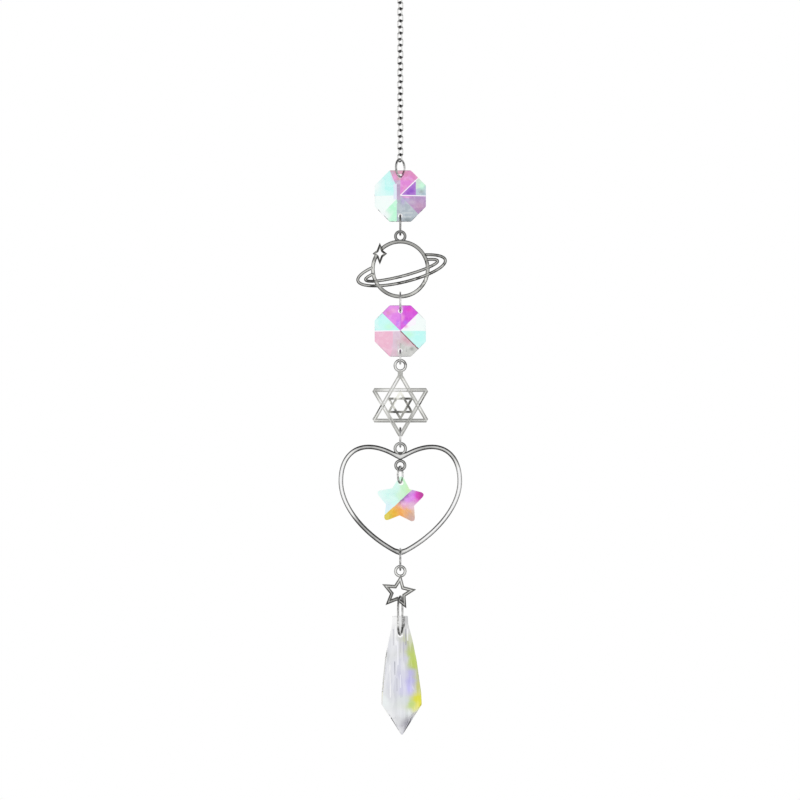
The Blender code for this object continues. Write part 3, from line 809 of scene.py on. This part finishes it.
icicleTints = [  # right of the hole and above it in millimetres, and the tint there: the coating's hues and painted reflections, light and dark
    ((-1.6, 4.6), "#f6f6f6"), ((-0.5, 4.6), "#f0f0f0"), ((0.6, 4.6), "#cfcfd0"), ((1.7, 4.6), "#c4c4c5"),
    ((-2.4, 2), "#ececed"), ((1.8, 2), "#d6d6d6"), ((-2, -3), "#e2e3e8"), ((-4.4, -13), "#e2e3e8"),
    ((-5.5, -20), "#ebf0f0"), ((-3.4, -18.5), "#dbdce1"), ((-1.4, -25.8), "#d8d9dc"),
    ((2.6, -23.9), "#e2e7e8"), ((0, -9), "#dddee8"), ((-1.6, -15), "#dcdde6"), ((1.2, -3.5), "#d2d1d8"),
    ((2.6, -1.6), "#ccd0b4"), ((3.1, -4), "#c8d29a"), ((3.3, -6), "#cad984"), ((3.8, -8), "#c9d97c"),
    ((4.3, -9.6), "#c6d478"), ((1.4, -7), "#d6d6e2"), ((3.2, -11.6), "#c8c4ea"), ((3.0, -13.8), "#c6c2ec"),
    ((2.6, -16.4), "#d0ccf6"), ((1.2, -12), "#d6d5e6"), ((1, -16.5), "#dad9ec"), ((5.1, -12.6), "#ccd0a4"),
    ((5.6, -16), "#d2d48e"), ((1.2, -20), "#d9dee0"), ((3.3, -21.2), "#cade90"), ((4.9, -19.8), "#dedc3e"),
    ((5.6, -21.6), "#e8e050"), ((4.2, -23), "#e4e690"), ((0, -24), "#e2e4e8"), ((-3, -25), "#ecedef"),
    ((3.9, -24.6), "#c4c3c4"), ((2.7, -26), "#b2b1b8"), ((1.9, -27.5), "#a9a8b0"), ((1.2, -28.8), "#bcbbc2"),
    ((-1, -30), "#e0e0e4"), ((4.7, -25), "#dadae0"), ((4.1, -26.2), "#d8d8de"), ((3.3, -27.8), "#d2d2da"),
    ((2.2, -29.4), "#cacad2"), ((0.4, -31), "#c8c8d0"),
]
iciclePlaces = atPlaces(icicleTints, shade)
splitAt(drop, upward, range(5, -31, -1))
splitAt(drop, rightward, range(-5, 6))
paintedReflectionLines = [  # right of the hole, from and to below it, in millimetres, and the tint of the painted reflection line there, light ones and grey ones
    (-1.9, 7.5, 11.9, "#9c9ea8"), (-0.8, 1.5, 9, "#f2f2f8"), (0.9, 2, 8, "#c6c6d0"),
    (-1.3, 12.5, 17, "#c2c2ce"), (-3.4, 9, 19, "#f4f4f6"), (-0.2, 12, 16, "#ececf6"),
    (-1.4, -2.6, 3.4, "#fafafc"), (1.7, -2.4, 2.6, "#aeaeb6"), (-2.2, -1.6, 3, "#c8c8ce"),
    (2.3, -1.8, 1.4, "#f4f4f8"),
]
lineHalf = 0.13
for x, top, bottom, code in paintedReflectionLines:
    splitAt(drop, rightward, [x - lineHalf, x + lineHalf])
blended(drop, lambda at: iciclePlaces, icicle["tintSpread"])
# Paints the reflection lines, light and grey, over the blended tints
for face in drop.data.polygons:
    for x, top, bottom, code in paintedReflectionLines:
        at = face.center / mm
        if face.normal.y < crystalFront and abs(at.x - x) < lineHalf and top < -at.z < bottom:
            for corner in face.loop_indices:
                drop.data.color_attributes["facetTint"].data[corner].color = (*deepened(shade(code)), 1)
placed(drop, z=icicle["holeCentre"], lean=radians(icicle["lean"]))
handedOver(drop, "icicleDrop", "icicle_drop", clear)
print("star crystal and icicle made")


# Cast charms

charmDepth = 1.6 * mm
loopOuter, loopWire = 3.9 * mm, 0.9 * mm
charmEdge = 0.08 * mm


def castLoop(outer, z):
    bpy.ops.mesh.primitive_torus_add(
        major_segments=40, minor_segments=16, major_radius=(outer - loopWire) / 2, minor_radius=loopWire / 2,
        location=(0, 0, z), rotation=(pi / 2, 0, 0),
    )
    loop = bpy.context.active_object
    settled(loop)
    painted(loop, loopSilver)
    return loop


# Turns a flat shape into an open frame whose bars have a groove between two rails, front and back
def groovedFrame(piece, bar, rail, groove, material):
    only(piece)
    editing(everything=True)
    bpy.ops.mesh.inset(thickness=rail)
    pushed((0, groove, 0))
    bpy.ops.mesh.inset(thickness=bar - 2 * rail)
    pushed((0, -groove, 0))
    bpy.ops.mesh.inset(thickness=rail)
    bpy.ops.mesh.delete(type="FACE")
    bpy.ops.mesh.select_mode(type="EDGE")
    bpy.ops.mesh.select_all(action="DESELECT")
    bpy.ops.mesh.select_non_manifold(extend=False)
    pushed((0, charmDepth / 2, 0))
    done()
    applied(piece, "MIRROR", use_axis=(False, True, False), merge_threshold=1e-6)
    closedUp(piece)
    painted(piece, material)


def softened(piece):
    applied(piece, "BEVEL", width=charmEdge, segments=2, limit_method="ANGLE", angle_limit=radians(50))
    only(piece)
    bpy.ops.object.shade_smooth_by_angle(angle=radians(38))


planet = {
    "centre": -112.4 * mm,
    "outer": 18.3 * mm,
    "band": 1.15 * mm,
    "bandEdge": 0.35 * mm,
    "loopCentre": 10.25 * mm,
    "strand": 0.95 * mm,
    "forward": 0.45 * mm,
    "aside": (0.4 * mm, -0.4 * mm),
    "strands": [(29.0, 7.5, 13.3), (24.2, 3.6, 14.7)],  # length, height and tilt
}
band = (planet["outer"] - planet["band"]) / 2
bpy.ops.mesh.primitive_plane_add(size=1)
disc = bpy.context.active_object
disc.scale = (planet["band"], charmDepth, 1)
disc.location = (band, 0, 0)
settled(disc)
editing("VERT", everything=True)
bpy.ops.mesh.bevel(offset=planet["bandEdge"], segments=3, affect="VERTICES")
bpy.ops.mesh.select_all(action="SELECT")
bpy.ops.mesh.delete(type="ONLY_FACE")
bpy.ops.mesh.select_mode(type="EDGE")
bpy.ops.mesh.select_all(action="SELECT")
spun(2 * pi, 96)
done()
closedUp(disc)
painted(disc, planetSilver)


# A four-pointed sparkle with hollow sides
def sparkle(size, y):
    tall, wide, waist = size
    reach = waist * 2 ** 0.5
    piece = flatPolygon(8, reach, y)
    pulled(piece, lambda at: abs(at.x) < 0.1 * waist, (1, 1, tall / 2 / reach))
    pulled(piece, lambda at: abs(at.z) < 0.1 * waist, (wide / 2 / reach, 1, 1))
    painted(piece, planetSilver)
    return piece


twinkle = {
    "outside": (6.8 * mm, 4.5 * mm, 0.98 * mm),  # tall, wide and waist
    "inside": (5.4 * mm, 3.3 * mm, 0.83 * mm),
    "wire": 0.62 * mm,
    "angle": 143,
    "reach": 8.0 * mm,
}
twinkleAt = (
    twinkle["reach"] * cos(radians(twinkle["angle"])),
    twinkle["reach"] * sin(radians(twinkle["angle"])),
)
inside = sparkle(twinkle["inside"], -1.25 * charmDepth)
only(inside)
editing(everything=True)
pushed((0, 2.5 * charmDepth, 0))
done()
closedUp(inside)
placed(inside, x=twinkleAt[0], z=twinkleAt[1])
joined(disc, inside, "DIFFERENCE")
outline = sparkle(twinkle["outside"], -charmDepth / 2)
only(outline)
editing(everything=True)
bpy.ops.mesh.inset(thickness=twinkle["wire"])
bpy.ops.mesh.delete(type="FACE")
bpy.ops.mesh.select_all(action="SELECT")
pushed((0, charmDepth, 0))
done()
closedUp(outline)
placed(outline, x=twinkleAt[0], z=twinkleAt[1])
joined(disc, outline)

for length, height, tilt in planet["strands"]:
    bpy.ops.mesh.primitive_circle_add(vertices=160, radius=mm, rotation=(pi / 2, 0, 0))
    strand = bpy.context.active_object
    strand.scale = (length / 2 - planet["strand"] / 2 / mm, height / 2, 1)
    settled(strand)
    placed(strand, lean=-radians(tilt), x=planet["aside"][0], y=-planet["forward"], z=planet["aside"][1])

    def behind(corner):
        at = Vector((corner.co.x, corner.co.z))
        along = Matrix.Rotation(-radians(tilt), 2) @ (at - Vector(planet["aside"]))
        return at.length < band and along.y > 0

    chosen(strand, behind)
    bpy.ops.mesh.delete(type="VERT")
    done()
    bpy.ops.object.convert(target="CURVE")
    strand.data.bevel_depth = planet["strand"] / 2
    strand.data.bevel_resolution = 4
    strand.data.use_fill_caps = True
    bpy.ops.object.convert(target="MESH")
    closedUp(strand)
    painted(strand, planetSilver)
    joined(disc, strand)
joined(disc, castLoop(loopOuter, planet["loopCentre"]))
closedUp(disc)
bpy.ops.object.shade_smooth_by_angle(angle=radians(38))
# Faces towards the front and back take the painted highlight and the sides the painted shade, through
# planetSilver's stops
facingMeasured(disc, mm)
# Right of the middle and above it in millimetres, and how dark the painted shade is there, below zero a
# painted highlight, as for the castings below
shadingPainted(disc, [
    ((0, 8.6), 0.5), ((6, 6.5), 0.5), ((-4, 7.6), 0.4), ((-8.6, 0), 0.0), ((6, -6.6), 0.1),
    ((8.2, -3.4), -0.3), ((-5, -7), 0.6), ((0, -8.6), 0.4), ((-14, -5), 0.3), ((-13, -1.5), 0.1),
    ((11, 4.8), 0.6), ((14, 2.6), 0.2), ((1.3, -0.7), 0.55), ((-5, -2), 0.5), ((7, 1.2), 0.55),
    ((1.3, -2.8), 0.0), ((-5, -4.1), 0.1), ((7, -0.9), 0.2), ((9, 1), 0.3), ((-6.4, 4.8), 0.4),
    ((0, 10.2), 0.6), ((8.8, 0), 0.3),
])
placed(disc, z=planet["centre"])
handedOver(disc, "planetCharm", "planet_charm")
print("planet made")

hexagram = {
    "centre": -154.95 * mm,
    "radius": 10.75 * mm,
    "tipReach": 9.7 * mm,
    "bar": 1.2 * mm,
    "rail": 0.4 * mm,
    "groove": 0.3 * mm,
    "innerRadius": 4.85 * mm,
    "innerBar": 0.7 * mm,
    "innerDepth": 1.0 * mm,
    "stem": (1.6 * mm, 0.9 * charmDepth),
    "loop": 4.2 * mm,
    "loopCentre": 12.4 * mm,
}
hexStar = None
for turn in (0, pi):
    triangle = flatPolygon(3, hexagram["radius"], -charmDepth / 2, turn)
    groovedFrame(triangle, hexagram["bar"], hexagram["rail"], hexagram["groove"], hexagramSilver)
    if hexStar:
        joined(hexStar, triangle)
    else:
        hexStar = triangle
only(hexStar)
editing()
for n in range(6):
    outward = Vector((cos(pi / 6 + n * pi / 3), 0, sin(pi / 6 + n * pi / 3)))
    bpy.ops.mesh.select_all(action="SELECT")
    bpy.ops.mesh.bisect(
        plane_co=outward * hexagram["tipReach"], plane_no=outward, use_fill=True, clear_outer=True
    )
done()
for turn in (0, pi):
    triangle = flatPolygon(3, hexagram["innerRadius"], -hexagram["innerDepth"] / 2, turn)
    only(triangle)
    editing(everything=True)
    bpy.ops.mesh.inset(thickness=hexagram["innerBar"])
    bpy.ops.mesh.delete(type="FACE")
    bpy.ops.mesh.select_all(action="SELECT")
    pushed((0, hexagram["innerDepth"], 0))
    done()
    closedUp(triangle)
    painted(triangle, innerSilver)
    joined(hexStar, triangle)
stemLow = hexagram["tipReach"] - hexagram["bar"]
stemHigh = hexagram["loopCentre"] - hexagram["loop"] / 2 + loopWire / 2
bpy.ops.mesh.primitive_cube_add(size=1, location=(0, 0, (stemLow + stemHigh) / 2))
stem = bpy.context.active_object
stem.scale = (hexagram["stem"][0], hexagram["stem"][1], stemHigh - stemLow)
settled(stem)
painted(stem, hexagramSilver)
joined(hexStar, stem)
joined(hexStar, castLoop(hexagram["loop"], hexagram["loopCentre"]))
closedUp(hexStar)
softened(hexStar)
# Painted shade and highlight patches along the bars
shadingPainted(hexStar, [
    ((-8, 5.2), 0.45), ((8, 5.2), 0.35), ((0, 5.2), -0.6), ((-2.6, 8), -0.1), ((2.6, 8), 0.1),
    ((-7, 0), -0.4), ((7, 0), -0.3), ((-7, -5), 0.1), ((-1, -5.2), 0.5), ((6, -5.2), 0.3), ((0, -9), 0.0),
    ((0, 12.4), -0.2), ((-2.4, 2), -0.6), ((2.6, 2.2), 0.6), ((3, -2.4), 0.6), ((-2.4, -2.6), 0.4),
])
placed(hexStar, z=hexagram["centre"])
handedOver(hexStar, "hexagramCharm", "hexagram_charm")
print("six-pointed star made")

heart = {
    "cleft": -171.46 * mm,
    "wire": 1.45 * mm,
    "side": (-18.58 * mm, -7.17 * mm),
    "point": 29.8 * mm,
    "lobeHandle": (10.7 * mm, 6.98 * mm),
    "sideUp": 10.15 * mm,
    "sideDown": 8.78 * mm,
    "pointHandle": (9.65 * mm, 4.53 * mm),
    "beyond": 1.5 * mm,  # how far the wire runs past the middle, before the mirror cuts it
    "web": (1.3 * mm, 0.58 * charmDepth, 1.76 * mm),
    "webCentre": 1.08 * mm,
    "loop": 4.2 * mm,
    "loopCentre": 2.96 * mm,
    "lowerLoop": 3.8 * mm,
    "lowerLoopCentre": -2.27 * mm,
}
bpy.ops.curve.primitive_bezier_curve_add()
half = bpy.context.active_object
half.data.dimensions = "3D"
half.data.resolution_u = 28
half.data.bevel_depth = heart["wire"] / 2
half.data.bevel_resolution = 6
points = half.data.splines[0].bezier_points
points.add(3)
lobe = Vector((-heart["lobeHandle"][0], 0, heart["lobeHandle"][1]))
side = Vector((heart["side"][0], 0, heart["side"][1]))
point = Vector((0, 0, -heart["point"]))
arriving = Vector((-heart["pointHandle"][0], 0, heart["pointHandle"][1]))
up, down = Vector((0, 0, heart["sideUp"])), Vector((0, 0, -heart["sideDown"]))
cleft = Vector((0, 0, 0))
ends = (cleft - lobe.normalized() * heart["beyond"], point - arriving.normalized() * heart["beyond"])
path = [
    (ends[0], ends[0], ends[0]),
    (cleft, cleft, lobe),
    (side, side + up, side + down),
    (point, point + arriving, point),
    (ends[1], ends[1], ends[1]),
]
for at, (here, back, ahead) in zip(points, path):
    at.handle_left_type = at.handle_right_type = "FREE"
    at.co, at.handle_left, at.handle_right = here, back, ahead
bpy.ops.object.convert(target="MESH")
applied(
    half, "MIRROR", use_axis=(True, False, False), use_bisect_axis=(True, False, False),
    use_bisect_flip_axis=(True, False, False), merge_threshold=1e-5,
)
closedUp(half)
painted(half, heartSilver)
joined(half, castLoop(heart["loop"], heart["loopCentre"]))
bpy.ops.mesh.primitive_cube_add(size=1, location=(0, 0, heart["webCentre"]))
web = bpy.context.active_object
web.scale = heart["web"]
settled(web)
painted(web, heartSilver)
joined(half, web)
joined(half, castLoop(heart["lowerLoop"], heart["lowerLoopCentre"]))
closedUp(half)
bpy.ops.object.shade_smooth_by_angle(angle=radians(40))
# Painted shade and highlight patches along the wire
shadingPainted(half, [
    ((-10, 2.4), 0.45), ((-4, 0.6), 0.35), ((8, 2.4), 0.45), ((13.5, 0.5), 0.2), ((-16, -1), -0.1),
    ((-18.5, -9), -0.35), ((-16, -16), -0.1), ((-11, -22), 0.45), ((-2, -29), 0.45), ((3, -28), 0.0),
    ((10, -22), -0.2), ((18.5, -9), -0.5), ((16, -16), -0.3), ((0, 3), 0.1), ((0, -2.3), 0.3),
])
placed(half, z=heart["cleft"])
handedOver(half, "heartFrame", "heart_frame")
print("heart made")

smallStar = {
    "centre": (-0.64 * mm, -213.39 * mm),
    "loopCentre": -206.8 * mm,
    "tip": 5.6 * mm,
    "notch": 2.6 * mm,
    "bar": 1.03 * mm,
    "rail": 0.36 * mm,
    "groove": 0.3 * mm,
    "tilt": -9,
}
little = flatStar(smallStar["tip"], smallStar["notch"], -charmDepth / 2)
groovedFrame(little, smallStar["bar"], smallStar["rail"], smallStar["groove"], starSilver)
placed(little, x=smallStar["centre"][0], z=smallStar["centre"][1], lean=-radians(smallStar["tilt"]))
joined(little, castLoop(loopOuter, smallStar["loopCentre"]))
closedUp(little)
softened(little)
# Painted shade and highlight patches along the arms
shadingPainted(little, [
    ((-4.5, -210.5), 0.1), ((-3.4, -217.5), 0.5), ((1.8, -217), 0.5), ((4.5, -212.6), 0.2),
    ((-0.6, -209), -0.3), ((0, -206.8), -0.2), ((-2.4, -213), 0.6), ((1.8, -212), 0),
])
handedOver(little, "smallStarCharm", "small_star_charm")
print("small star made")


# Camera, light and floor

studio = {
    "floorHeight": -0.358,
    "floorRadius": 0.4,
    "lightPlace": (-0.5, -0.7, 0.25),
    "lightTurn": (radians(60), 0, radians(-35)),
    "lightSize": 0.5,
    "lightPower": 1.5,
    "lens": 100,
    "sensor": 36,
    "cameraPlace": (-0.00009, -0.69444, -0.1533),
}
bpy.ops.mesh.primitive_circle_add(
    vertices=96, radius=studio["floorRadius"], fill_type="NGON", location=(0, 0, studio["floorHeight"])
)
ground = bpy.context.active_object
ground.name = "floor"
paper, nodes, links, shader = newMaterial("palePaper")
grain = objectNoise(nodes, links, scale=60, detail=3)
paperTone = colourRamp(nodes, links, grain, [(0.3, (0.93, 0.93, 0.93)), (0.7, (0.96, 0.96, 0.96))])
links.new(paperTone, shader.inputs["Base Color"])
shader.inputs["Roughness"].default_value = 0.8
ground.data.materials.append(paper)

# A white tent, greyer at the sides and dark overhead. The camera sees plain white instead.
world = bpy.data.worlds.new("studio")
bpy.context.scene.world = world
world.use_nodes = True
nodes = world.node_tree.nodes
links = world.node_tree.links
axes = separated(nodes, links, nodes.new("ShaderNodeTexCoord").outputs["Generated"])
walls = colourRamp(
    nodes, links, mapped(nodes, links, axes["Y"], (-1.0, 1.0)),
    [(0.0, (1, 1, 1)), (0.3, (0.6, 0.6, 0.61)), (0.55, (0.72, 0.72, 0.72)), (0.72, (1, 1, 1))],
)
ceiling = colourRamp(nodes, links, axes["Z"], [(0.5, (1, 1, 1)), (0.85, (0.25, 0.25, 0.26))])
tent = nodes["Background"]
links.new(multiplied(nodes, links, walls, ceiling), tent.inputs["Color"])
plain = nodes.new("ShaderNodeBackground")
plain.inputs["Color"].default_value = (1, 1, 1, 1)
seen = nodes.new("ShaderNodeLightPath")
mix = nodes.new("ShaderNodeMixShader")
links.new(seen.outputs["Is Camera Ray"], mix.inputs["Fac"])
links.new(tent.outputs["Background"], mix.inputs[1])
links.new(plain.outputs["Background"], mix.inputs[2])
links.new(mix.outputs["Shader"], nodes["World Output"].inputs["Surface"])

bpy.ops.object.light_add(type="AREA", location=studio["lightPlace"], rotation=studio["lightTurn"])
keyLight = bpy.context.active_object
keyLight.name = "keyLight"
keyLight.data.size = studio["lightSize"]
keyLight.data.energy = studio["lightPower"]
keyLight.visible_glossy = False
keyLight.visible_transmission = False

cameraData = bpy.data.cameras.new("photoCamera")
camera = bpy.data.objects.new("photoCamera", cameraData)
bpy.context.scene.collection.objects.link(camera)
cameraData.lens = studio["lens"]
cameraData.sensor_width = studio["sensor"]
camera.location = studio["cameraPlace"]
camera.rotation_euler = (pi / 2, 0, 0)
bpy.context.scene.camera = camera
bpy.context.scene.view_settings.view_transform = "Standard"
print("camera and light set")
